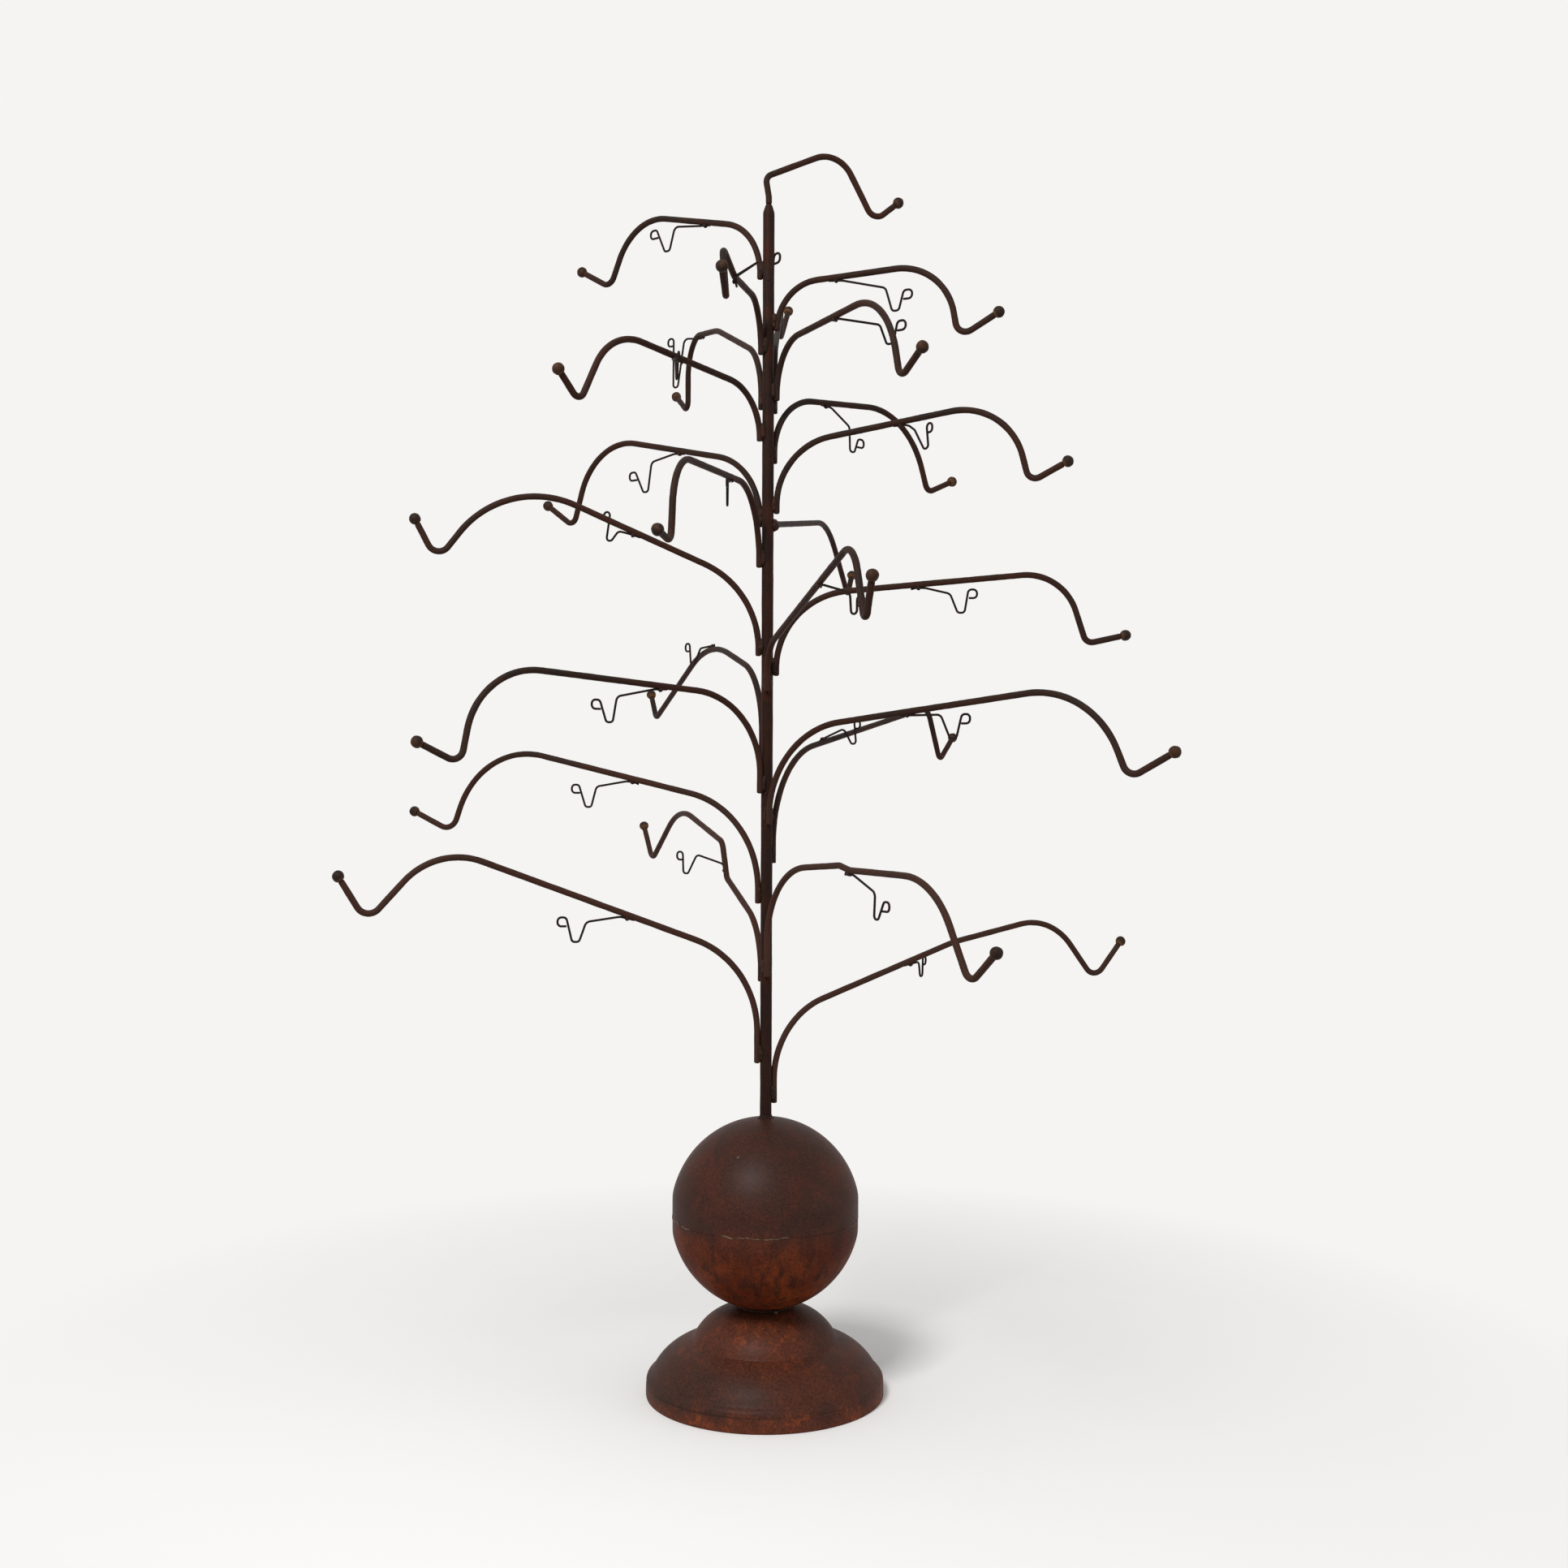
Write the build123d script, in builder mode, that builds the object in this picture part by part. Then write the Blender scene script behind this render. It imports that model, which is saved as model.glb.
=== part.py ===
"""A welded iron display tree with hooked branches.

A spun sheet dish carries a hollow ball made of two pressed halves. A round post stands through the
ball. Round rods are lap-welded to the post all the way up, each one bent up and out, over a crest
and down into a hooked tip that ends in a small ball. Most rods carry a thin wire hook as well.
Millimetres, +Z up. The tree is built round the post's middle line, then moved so that the origin lies
on the floor under the middle of its bounding box.
"""
import os
from math import acos, cos, degrees, radians, sin, sqrt

from build123d import *

# Bar, rod and wire stock
post_diameter = 9.4
rod_diameter = 4.8
wire_diameter = 1.8
finial_diameter = 9.2

# The dish under the ball, from the rim up: rim, shoulder, flange, step and dome with its opening
base_radius = 96.9
base_wall = 2.2
rim_height = 11.9
rim_corner = 1.6
shoulder_width = 4.5
shoulder_rise = 6.7
shoulder_bulge = 1.25
flange_width = 27.3
flange_rise = 23.5
flange_bulge = 3.6
step_width = 5.6
step_rise = 2.0
dome_rise = 27.0
dome_bulge = 8.2
base_opening_radius = 14.5

# The hollow ball: two pressed halves, flattened to an upright band and a small step where they meet
ball_diameter = 154.6
ball_wall = 1.6
band_trim = 1.5
seam_drop = 3.0
seam_step = 0.4
post_clearance = 0.15

# The post: the line that the arms are marked off from, below the ball's crown, the bare length above
# the highest tail, the tapered top, and the end under the ball
mark_drop = 2.5
post_bare_top = 54.0
post_taper = 7.0
post_foot = 3.0

# Weld metal
weld_gap = 0.15
seam_bead_radius = 1.3
seat_bead_radius = 3.0
collar_width = 2.7
collar_height = 3.0
bead_radius = 3.6
bead_length = 13.0
bead_rise = 8.0
butt_bead_radius = 5.0
hook_bead_radius = 2.3
rounded_share = 0.9

# Wire hooks: the lap on the rod, the bends and the closed loop
lap_length = 12.0
lap_bend = 7.0
hook_bend = 5.0
dip_bend = 2.8
loop_radius = 3.5
loop_gap = 0.45

post_radius = post_diameter / 2
rod_radius = rod_diameter / 2
wire_radius = wire_diameter / 2
finial_radius = finial_diameter / 2
ball_radius = ball_diameter / 2
flange_radius = base_radius - shoulder_width
step_radius = flange_radius - flange_width
dome_radius = step_radius - step_width
flange_height = rim_height + shoulder_rise
step_height = flange_height + flange_rise
dome_foot_height = step_height + step_rise
base_height = dome_foot_height + dome_rise
ball_middle = base_height + sqrt(ball_radius**2 - base_opening_radius**2)
crown = ball_middle + ball_radius
mark_height = crown - mark_drop
band_radius = ball_radius - band_trim
seam_height = ball_middle - seam_drop
tail_offset = post_radius + rod_radius + weld_gap
finial_seat = sqrt(finial_radius**2 - rod_radius**2)
finial_flat_angle = degrees(acos(rod_radius / finial_radius))

# Each arm: where its tail sits round the post, the way it heads, both in degrees from +X, and its
# corners as (reach from the tail, height above the marked line, bend radius, step aside), the last
# two only where they are needed. The last corner is the middle of the finial. A hook is given by its
# place along the rod, its twist from the arm's heading, and its corner, dip and loop as (reach,
# height) from the place where it leaves the rod, under the rod or over it.
arms = {
    "arm_01": dict(
        seat=165, heading=140,
        route=[(0, 687), (0, 730, 50), (145, 768, 48), (174, 711, 9), (210, 731)],
        hook=dict(at=100, twist=0, corner=(29, 5), dip=(38, -14), loop=(54, 3)),
    ),
    "arm_02": dict(
        seat=-15, heading=-25,
        route=[(0, 644), (0, 681, 36), (145, 683, 49), (156, 622, 9), (189, 639)],
        hook=dict(at=80, twist=0, corner=(37, -10), dip=(45.5, -29), loop=(56, -17)),
    ),
    "arm_03": dict(
        seat=-145, heading=-97,
        route=[
            (0, 624), (0, 665, 36), (99, 660, 21, 7),
            (140, 671, 11, 10), (157, 626, 6.5, 4), (185, 643, 0, 3),
        ],
        hook=dict(at=126, twist=45, corner=(34, 6), dip=(45, -11), loop=(54, 3)),
    ),
    "arm_04": dict(
        seat=-15, heading=-65,
        route=[(0, 587), (0, 632, 40), (188, 631, 66), (209, 562, 8), (241, 578)],
        hook=dict(at=139, twist=30, corner=(37, -10), dip=(46, -25.5), loop=(56, -13)),
    ),
    "arm_05": dict(
        seat=142, heading=110,
        route=[(0, 581), (0, 626, 51), (118, 674, 84), (206, 688, 32), (206, 619, 6.5), (244, 641)],
        hook=dict(at=214, twist=30, corner=(20, 3), dip=(31, -40), loop=(37, 2)),
    ),
    "arm_06": dict(
        seat=45, heading=88,
        route=[(0, 578), (0, 628, 25), (130, 699, 20), (180, 684, 12, -2), (212, 718, 0, 4)],
    ),
    "arm_07": dict(
        seat=-160, heading=-130,
        route=[(0, 554), (0, 594, 41), (169, 612, 48), (201, 552, 6.5), (222, 573)],
        hook=dict(at=130, twist=50, corner=(24, -5), dip=(32, -22), loop=(43, -8)),
    ),
    "arm_08": dict(
        seat=45, heading=45,
        route=[(0, 537), (0, 591, 49), (166, 605, 70), (193, 536, 7), (227, 550)],
        hook=dict(at=104, twist=0, corner=(23, -13), dip=(26.5, -34), loop=(37.5, -25.5)),
    ),
    "arm_09": dict(
        seat=-5, heading=-20,
        route=[(0, 495), (0, 549, 53), (192, 575, 52), (209, 509, 7.5), (239, 524)],
        hook=dict(at=149, twist=-35, corner=(8.6, -5.6), dip=(22.8, -22.2), loop=(26.7, -6.6)),
    ),
    "arm_10": dict(
        seat=20, heading=75, butt=True,
        route=[(-4, 486), (187, 515, 90), (272, 457, 6), (289, 478)],
    ),
    "arm_11": dict(
        seat=150, heading=140,
        route=[(0, 485), (0, 537, 60), (194, 582, 57), (221, 505, 7), (255, 527)],
        hook=dict(at=136, twist=0, corner=(27, -4), dip=(34, -29), loop=(50, -14)),
    ),
    "arm_12": dict(
        seat=-160, heading=-105,
        route=[(0, 451), (0, 515, 56), (217, 505, 41), (225, 442, 8), (253, 447)],
        hook=dict(at=124, twist=15, corner=(24, -4), dip=(33, -24), loop=(44, -8)),
    ),
    "arm_13": dict(
        seat=-175, heading=-170,
        route=[(0, 379), (0, 434, 74), (204, 521, 77), (258, 450, 9), (275, 483)],
        hook=dict(at=160, twist=-45, corner=(8, 2), dip=(18, -5), loop=(20, 15)),
    ),
    "arm_14": dict(
        seat=0, heading=0,
        route=[(0, 363), (0, 427, 64), (234, 449, 42), (253, 390, 7), (285, 397)],
        hook=dict(at=164, twist=0, corner=(20, -4.5), dip=(29, -20), loop=(38.5, -4.5)),
    ),
    "arm_15": dict(
        seat=-90, heading=-75,
        route=[(0, 350), (0, 385, 29), (235, 442, 28), (263, 380, 5), (278, 413)],
        hook=dict(at=190, twist=30, corner=(28, -8), dip=(32, -23.5), loop=(38.5, -14.5)),
    ),
    "arm_16": dict(
        seat=125, heading=110,
        route=[(0, 289), (0, 363, 61), (144, 403, 175), (316, 339, 8), (334, 363)],
        hook=dict(at=204, over=True, twist=15, corner=(17, -1), dip=(30.5, -15), loop=(39, 1)),
    ),
    "arm_17": dict(
        seat=-140, heading=-145,
        route=[(0, 267), (0, 344, 66), (249, 363, 57), (264, 288, 8.5), (298, 304)],
        hook=dict(at=154, twist=0, corner=(33, -6.5), dip=(39.5, -26.5), loop=(51.5, -13)),
    ),
    "arm_18": dict(
        seat=-75, heading=-35,
        route=[(0, 242), (0, 316, 76), (285, 348, 70), (314, 279, 9), (349, 298)],
        hook=dict(at=186, twist=0, corner=(23.5, 0), dip=(34.5, -18), loop=(45.5, -3.5)),
    ),
    "arm_19": dict(
        seat=45, heading=60,
        route=[(0, 210), (0, 295, 82), (293, 349, 18), (321, 298, 6), (351, 321)],
        hook=dict(at=154, over=True, twist=-20, corner=(21, 8), dip=(32.5, -5), loop=(36.5, 12)),
    ),
    "arm_20": dict(
        seat=165, heading=155,
        route=[(0, 177), (0, 253, 79), (271, 312, 75), (302, 231, 12), (343, 249)],
        hook=dict(at=182, twist=0, corner=(29.5, -4.5), dip=(37.5, -22), loop=(50.5, -6.5)),
    ),
    "arm_21": dict(
        seat=-85, heading=-60,
        route=[
            (0, 118), (0, 205, 64), (111, 213, 8), (126, 210, 8),
            (236, 209, 67), (279, 139, 9), (309, 163),
        ],
        hook=dict(at=196, twist=0, corner=(29.5, -11.5), dip=(31, -31), loop=(45, -21)),
    ),
    "arm_22": dict(
        seat=128, heading=110,
        route=[
            (0, 113), (0, 156, 50), (90, 193, 8), (103, 224, 13),
            (235, 253, 102), (327, 199, 14), (358, 232),
        ],
        hook=dict(at=146, twist=30, corner=(32, 7.5), dip=(45.5, -9.5), loop=(52.5, 6)),
    ),
    "arm_23": dict(
        seat=-170, heading=-160,
        route=[(0, 47), (0, 129, 82), (260, 227, 55), (313, 169, 10), (334, 204)],
        hook=dict(at=190, twist=0, corner=(27.5, -3.5), dip=(36, -19), loop=(47, -3)),
    ),
    "arm_24": dict(
        seat=25, heading=30,
        route=[(0, 14), (0, 82, 66), (179, 138, 120), (286, 157, 60), (336, 97, 12), (367, 131)],
        hook=dict(at=200, twist=35, corner=(7, 0), dip=(13, -13), loop=(20.5, 0)),
    ),
}

# The leader on top of the post, by reach from the post's middle and height above its tapered top
leader_heading = 20
leader_route = [(0, 0), (0, 6, 8), (-3, 22, 7), (61, 52, 24), (93, -4, 9), (115, 14)]

post_rise = max(arm["route"][0][1] for arm in arms.values()) + post_bare_top


def heading_vector(angle):
    return Vector(cos(radians(angle)), sin(radians(angle)), 0)


def standing_plane(origin, angle):
    """A vertical plane whose X runs along the heading and whose Y runs up."""
    direction = heading_vector(angle)
    return Plane(origin=origin, x_dir=direction, z_dir=direction.cross(Vector(0, 0, 1)))


def bent_line(plane, route):
    """The middle line of a bent rod, stopped where the finial's flat begins."""
    asides = [corner[3] if len(corner) > 3 else 0 for corner in route]
    points = [plane.from_local_coords((*corner[:2], aside)) for corner, aside in zip(route, asides)]
    points[-1] = points[-1] - (points[-1] - points[-2]).normalized() * finial_seat
    with BuildLine() as line:
        FilletPolyline(*points, radius=[corner[2] for corner in route[1:-1]])
    return line.wire()


pieces = {}

# The dish: the outer outline from opening to rim, thickened inwards and turned round the post line
with BuildPart() as base_dish:
    with BuildSketch(Plane.XZ):
        with BuildLine():
            dome = SagittaArc(
                (base_opening_radius, base_height), (dome_radius, dome_foot_height), dome_bulge
            )
            step = Line(dome @ 1, (step_radius, step_height))
            flange = SagittaArc(step @ 1, (flange_radius, flange_height), flange_bulge)
            shoulder = SagittaArc(flange @ 1, (base_radius, rim_height), shoulder_bulge)
            Line(shoulder @ 1, (base_radius, 0))
            offset(amount=base_wall, side=Side.RIGHT, closed=True)
        make_face()
    revolve(axis=Axis.Z)
    fillet(base_dish.edges().group_by(Axis.Z)[0].sort_by(SortBy.RADIUS)[-1], radius=rim_corner)
pieces["base_dish"] = base_dish.part


# The ball's halves: part of a hollow, slightly banded sphere each, with a hole for the post in the pole
def half_shell(name, outer_radius, upright):
    with BuildPart() as half:
        with BuildSketch(Plane.XZ):
            with Locations((0, ball_middle)):
                Circle(outer_radius)
                Rectangle(2 * (outer_radius - band_trim), 2 * ball_diameter, mode=Mode.INTERSECT)
            offset(amount=-ball_wall, mode=Mode.SUBTRACT)
            with Locations((post_radius + post_clearance, seam_height)):
                Rectangle(ball_diameter, ball_diameter, align=(Align.MIN, upright), mode=Mode.INTERSECT)
        revolve(axis=Axis.Z)
    pieces[name] = half.part


half_shell("upper_ball_half", ball_radius, Align.MIN)
half_shell("lower_ball_half", ball_radius - seam_step, Align.MAX)

# The post: from just under the ball, through it, up to a tapered end the size of the leader rod
post_bottom = ball_middle - ball_radius - post_foot
post_top = mark_height + post_rise
with BuildPart() as post:
    with Locations((0, 0, post_bottom)):
        Cylinder(post_radius, post_top - post_bottom, align=(Align.CENTER, Align.CENTER, Align.MIN))
    with Locations((0, 0, post_top)):
        Cone(post_radius, rod_radius, post_taper, align=(Align.CENTER, Align.CENTER, Align.MIN))
pieces["post"] = post.part

# The bead round the ball's seam, lying on both halves
with BuildPart() as ball_seam_weld:
    with BuildSketch(Plane.XZ):
        with Locations((band_radius - seam_bead_radius / 2, seam_height)):
            Circle(seam_bead_radius)
        with Locations((0, seam_height)):
            Rectangle(2 * band_radius, 4 * seam_bead_radius, mode=Mode.SUBTRACT)
    revolve(axis=Axis.Z)
pieces["ball_seam_weld"] = ball_seam_weld.part

# The bead where the ball sits in the dish's opening
with BuildPart() as ball_seat_weld:
    with Locations((0, 0, base_height + seat_bead_radius / 3)):
        Torus(base_opening_radius + 2 * seat_bead_radius, seat_bead_radius)
    with Locations((0, 0, ball_middle)):
        Sphere(ball_radius, mode=Mode.SUBTRACT)
    add(base_dish.part, mode=Mode.SUBTRACT)
pieces["ball_seat_weld"] = ball_seat_weld.part


# The collars of weld metal round the post, on the ball's crown and under its bottom pole
def weld_collar(name, height, rising):
    with BuildPart() as collar:
        with Locations((0, 0, height)):
            Cylinder(post_radius + collar_width, 2 * collar_height)
            Cylinder(post_radius, 2 * collar_height, mode=Mode.SUBTRACT)
        end = collar.edges().filter_by(GeomType.CIRCLE).sort_by(SortBy.RADIUS)[-2:].sort_by(Axis.Z)
        fillet(end[-1] if rising else end[0], radius=collar_width * rounded_share)
        with Locations((0, 0, ball_middle)):
            Sphere(ball_radius, mode=Mode.SUBTRACT)
    pieces[name] = collar.part


weld_collar("crown_weld", crown, True)
weld_collar("foot_weld", ball_middle - ball_radius, False)

# The arms, with a finial on each tip and a bead along each tail
arm_lines = {}
arm_parts = {}
finials = []
tail_beads = []


def finial_on(line):
    """A small ball with a flat the size of the rod's end."""
    direction = line % 1
    with BuildPart(Plane(origin=line @ 1 + direction * finial_seat, z_dir=direction)) as finial:
        Sphere(finial_radius, arc_size1=-finial_flat_angle, align=None)
    return finial.part


def bent_rod(name, line):
    with BuildPart() as rod:
        with BuildSketch(Plane(origin=line @ 0, z_dir=line % 0)):
            Circle(rod_radius)
        sweep(path=line)
    arm_lines[name] = line
    arm_parts[name] = rod.part
    finials.append(finial_on(line))


def tail_bead(arm_part, seat, height):
    """A bead between the post and an arm's tail, fitted to both."""
    with BuildPart() as bead:
        with Locations(heading_vector(seat) * post_radius + Vector(0, 0, height)):
            Cylinder(bead_radius, bead_length)
        fillet(bead.edges().filter_by(GeomType.CIRCLE), radius=bead_radius * rounded_share)
        add(post.part, mode=Mode.SUBTRACT)
        add(arm_part, mode=Mode.SUBTRACT)
    tail_beads.extend(bead.part.solids())


def butt_bead(arm_part, seat, height):
    """A bead round an arm that runs straight into the side of the post."""
    with BuildPart() as bead:
        with Locations(heading_vector(seat) * post_radius + Vector(0, 0, height)):
            Sphere(butt_bead_radius)
        add(post.part, mode=Mode.SUBTRACT)
        add(arm_part, mode=Mode.SUBTRACT)
    tail_beads.extend(bead.part.solids())


for name, arm in arms.items():
    side = heading_vector(arm["seat"])
    butt = arm.get("butt", False)
    start = side * (post_radius if butt else tail_offset) + Vector(0, 0, mark_height)
    bent_rod(name, bent_line(standing_plane(start, arm["heading"]), arm["route"]))
    if butt:
        with BuildPart() as saddle:
            add(arm_parts[name])
            add(post.part, mode=Mode.SUBTRACT)
        arm_parts[name] = saddle.part.solids().sort_by(SortBy.VOLUME)[-1]
        butt_bead(arm_parts[name], arm["seat"], mark_height + arm["route"][0][1])
    else:
        tail_bead(arm_parts[name], arm["seat"], mark_height + arm["route"][0][1] + bead_rise)

leader_plane = standing_plane((0, 0, post_top + post_taper), leader_heading)
bent_rod("leader_arm", bent_line(leader_plane, leader_route))
pieces.update(arm_parts)

# The wire hooks: a lap under the rod, a run out, a drop to the dip, and a rise into a closed loop
hook_beads = []


def hook_route(foot, along, out, hook):
    """The corners of a hook and the bend at each: lap, run, the dip's two and the loop's three.

    The loop's end comes back to the leaning wire that rises out of the dip, and stops just short of it.
    """
    dip_reach, dip_height = hook["dip"]
    loop_reach, loop_height = hook["loop"]
    loop_start = loop_reach - loop_radius
    lean = (loop_start - dip_reach - dip_bend) / (loop_height + loop_radius - dip_height)
    loop_end = loop_start - 2 * loop_radius * lean + loop_gap
    loop_end += wire_radius * (abs(lean) + sqrt(1 + lean**2))
    corners = [
        hook["corner"],
        (dip_reach - dip_bend, dip_height),
        (dip_reach + dip_bend, dip_height),
        (loop_start, loop_height + loop_radius),
        (loop_reach + loop_radius, loop_height + loop_radius),
        (loop_reach + loop_radius, loop_height - loop_radius),
        (loop_end, loop_height - loop_radius),
    ]
    points = [foot - along * lap_length, foot]
    points += [foot + out * reach + Vector(0, 0, height) for reach, height in corners]
    loop_bend = loop_radius * rounded_share
    return points, [lap_bend, hook_bend, dip_bend, dip_bend, loop_bend, loop_bend, loop_bend]


def wire_hook(name, arm_name):
    arm = arms[arm_name]
    hook = arm["hook"]
    line = arm_lines[arm_name]
    place = line.position_at(hook["at"], position_mode=PositionMode.LENGTH)
    along = line.tangent_at(hook["at"], position_mode=PositionMode.LENGTH)
    under = (along * along.Z - Vector(0, 0, 1)).normalized() * (-1 if hook.get("over") else 1)
    foot = place + under * (rod_radius + wire_radius + weld_gap)
    points, bends = hook_route(foot, along, heading_vector(arm["heading"] + hook["twist"]), hook)
    with BuildPart() as wire:
        with BuildLine() as route:
            FilletPolyline(*points, radius=bends)
        with BuildSketch(Plane(origin=route.line @ 0, z_dir=route.line % 0)):
            Circle(wire_radius)
        sweep(path=route.line)
    with BuildPart() as bead:
        with Locations(place - along * lap_length / 2 + under * rod_radius):
            Sphere(hook_bead_radius)
        add(arm_parts[arm_name], mode=Mode.SUBTRACT)
        add(wire.part, mode=Mode.SUBTRACT)
    hook_beads.extend(bead.part.solids())
    pieces[name] = wire.part


for name, arm in arms.items():
    if "hook" in arm:
        wire_hook(name.replace("arm", "hook"), name)

# The small like pieces, each kind a group of separate solids
groups = {"finial_balls": finials, "arm_weld_beads": tail_beads, "hook_weld_beads": hook_beads}
for name, solids in groups.items():
    with BuildPart() as group:
        add(solids)
    pieces[name] = group.part

# The frame: every piece moved so that the origin is under the middle of the whole tree
whole = Compound(list(pieces.values())).bounding_box().center()
os.makedirs("parts", exist_ok=True)
for name, piece in pieces.items():
    placed = piece.moved(Location((-whole.X, -whole.Y, 0)))
    placed.label = name
    export_step(placed, f"parts/{name}.step")
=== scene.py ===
"""Looks of a welded iron display tree: a rusted dish and ball, a round post and bent rods with small balls.

The file follows the tree as it is put together, from the floor up. Lengths are in metres.
"""
import math

import bpy
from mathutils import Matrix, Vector
from mathutils.kdtree import KDTree


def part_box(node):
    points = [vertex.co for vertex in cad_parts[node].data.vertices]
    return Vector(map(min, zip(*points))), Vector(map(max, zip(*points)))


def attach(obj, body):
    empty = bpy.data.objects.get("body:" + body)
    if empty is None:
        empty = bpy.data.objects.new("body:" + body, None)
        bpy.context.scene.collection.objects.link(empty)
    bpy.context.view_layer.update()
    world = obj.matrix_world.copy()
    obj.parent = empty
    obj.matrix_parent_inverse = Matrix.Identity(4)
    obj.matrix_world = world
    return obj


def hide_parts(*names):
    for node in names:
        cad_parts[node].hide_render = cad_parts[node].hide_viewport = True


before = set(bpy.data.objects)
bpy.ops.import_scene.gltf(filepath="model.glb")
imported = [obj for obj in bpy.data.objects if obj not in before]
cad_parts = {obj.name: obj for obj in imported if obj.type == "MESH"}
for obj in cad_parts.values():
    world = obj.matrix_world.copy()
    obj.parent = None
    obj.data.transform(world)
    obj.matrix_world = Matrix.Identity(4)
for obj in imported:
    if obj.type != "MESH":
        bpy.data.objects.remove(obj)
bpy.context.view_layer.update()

# --- The dish ---------------------------------------------------------------------------------------
# A round foot pressed from one sheet of iron: a short upright rim with a groove above it, a rounded
# shoulder, a wide flange, a small step and a dome with an opening that the ball sits in. Rusted through.
dish_low, dish_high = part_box("base_dish")
axis_x = (dish_low.x + dish_high.x) / 2
axis_y = (dish_low.y + dish_high.y) / 2
dish_sheet = 0.0022
dish_sides = 72
dish_dent_size, dish_dent_depth = 0.045, 0.0005
rim_radius = 0.0969
rim_top = (0.0967, 0.0125)
shoulder_top, shoulder_bulge = (0.0924, 0.0186), 0.0011
flange_top, flange_bulge = (0.0651, 0.0421), 0.0036
dome_foot = (0.0595, 0.0441)
dome_top, dome_bulge = (0.0146, 0.0711), 0.0082
merge_distance = 1e-6


def bowed(start, end, bulge, steps):
    """Points of an arc between two (radius, height) points that stands out by a bulge, all but the first."""
    run, rise = end[0] - start[0], end[1] - start[1]
    chord = math.hypot(run, rise)
    half_angle = 2 * math.atan(2 * bulge / chord)
    arc_radius = chord / (2 * math.sin(half_angle))
    points = []
    for step in range(1, steps + 1):
        angle = half_angle * (2 * step / steps - 1)
        along = 0.5 + arc_radius * math.sin(angle) / chord
        out = arc_radius * (math.cos(angle) - math.cos(half_angle)) / chord
        points.append((start[0] + run * along + rise * out, start[1] + rise * along - run * out))
    return points


dish_rings = [
    (rim_radius - 0.0008, 0.0), (rim_radius - 0.0002, 0.0004),
    (rim_radius, 0.0016), (rim_radius, 0.0058),
    (rim_radius - 0.0001, 0.0098), (rim_radius - 0.0002, 0.0109), (rim_radius - 0.0007, 0.0117), rim_top,
    *bowed(rim_top, shoulder_top, shoulder_bulge, 4),
    *bowed(shoulder_top, flange_top, flange_bulge, 9),
    (flange_top[0] - 0.0007, flange_top[1] + 0.0002),
    (dome_foot[0] + 0.0008, dome_foot[1] - 0.0002), dome_foot,
    (dome_foot[0] - 0.0004, dome_foot[1] + 0.0006),
    *bowed(dome_foot, dome_top, dome_bulge, 13),
]


def clear_selection():
    if bpy.context.object and bpy.context.object.mode != "OBJECT":
        bpy.ops.object.mode_set(mode="OBJECT")
    bpy.ops.object.select_all(action="DESELECT")


def pick(piece):
    clear_selection()
    piece.select_set(True)
    bpy.context.view_layer.objects.active = piece


def settle(piece, name):
    """Applies a piece's place and modifiers, names it and shades it smooth."""
    pick(piece)
    bpy.ops.object.transform_apply(location=True, rotation=True, scale=True)
    for modifier in list(piece.modifiers):
        bpy.ops.object.modifier_apply(modifier=modifier.name)
    bpy.ops.object.shade_smooth()
    piece.name = piece.data.name = name


def face_outwards(piece):
    pick(piece)
    bpy.ops.object.mode_set(mode="EDIT")
    bpy.ops.mesh.select_all(action="SELECT")
    bpy.ops.mesh.remove_doubles(threshold=merge_distance)
    bpy.ops.mesh.normals_make_consistent(inside=False)
    bpy.ops.object.mode_set(mode="OBJECT")


def turned(rings, sides):
    """A surface turned about the tree's axis, through (radius, height) pairs in their order."""
    first_radius, first_height = rings[0]
    clear_selection()
    bpy.ops.mesh.primitive_circle_add(
        vertices=sides, radius=first_radius, location=(axis_x, axis_y, first_height)
    )
    piece = bpy.context.object
    pick(piece)
    bpy.ops.object.transform_apply(location=True)
    bpy.ops.object.mode_set(mode="EDIT")
    bpy.ops.mesh.select_all(action="SELECT")
    for (radius, height), (next_radius, next_height) in zip(rings, rings[1:]):
        bpy.ops.mesh.extrude_region_move(
            TRANSFORM_OT_translate={"value": (0, 0, next_height - height)}
        )
        share = next_radius / radius
        bpy.ops.transform.resize(
            value=(share, share, 1), center_override=(axis_x, axis_y, next_height)
        )
    bpy.ops.object.mode_set(mode="OBJECT")
    face_outwards(piece)
    return piece


def thicken(piece, sheet, rounding_levels):
    """Gives a turned surface a sheet's thickness inwards, and rounds it."""
    wall = piece.modifiers.new("wall", "SOLIDIFY")
    wall.thickness = sheet
    wall.offset = -1
    soften(piece, rounding_levels)


def soften(piece, rounding_levels):
    rounding = piece.modifiers.new("rounding", "SUBSURF")
    rounding.levels = rounding.render_levels = rounding_levels


def unevenness(name, size):
    """A cloudy field that hammering, pressing and rust leave in a surface; size is a lump's width."""
    clouds = bpy.data.textures.new(name, "CLOUDS")
    clouds.noise_scale = size
    clouds.noise_depth = 2
    return clouds


def uneven(piece, field, amount):
    waves = piece.modifiers.new("waves", "DISPLACE")
    waves.texture = field
    waves.texture_coords = "LOCAL"
    waves.strength = amount
    waves.mid_level = 0.5


dish = turned(dish_rings, dish_sides)
thicken(dish, dish_sheet, 2)
uneven(dish, unevenness("sheet_dents", dish_dent_size), dish_dent_depth)
settle(dish, "pressed_dish")


def new_group(name, inputs, outputs):
    group = bpy.data.node_groups.new(name, "ShaderNodeTree")
    for socket, kind in inputs:
        group.interface.new_socket(name=socket, in_out="INPUT", socket_type=kind)
    for socket, kind in outputs:
        group.interface.new_socket(name=socket, in_out="OUTPUT", socket_type=kind)
    return group, group.nodes.new("NodeGroupInput"), group.nodes.new("NodeGroupOutput")


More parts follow.
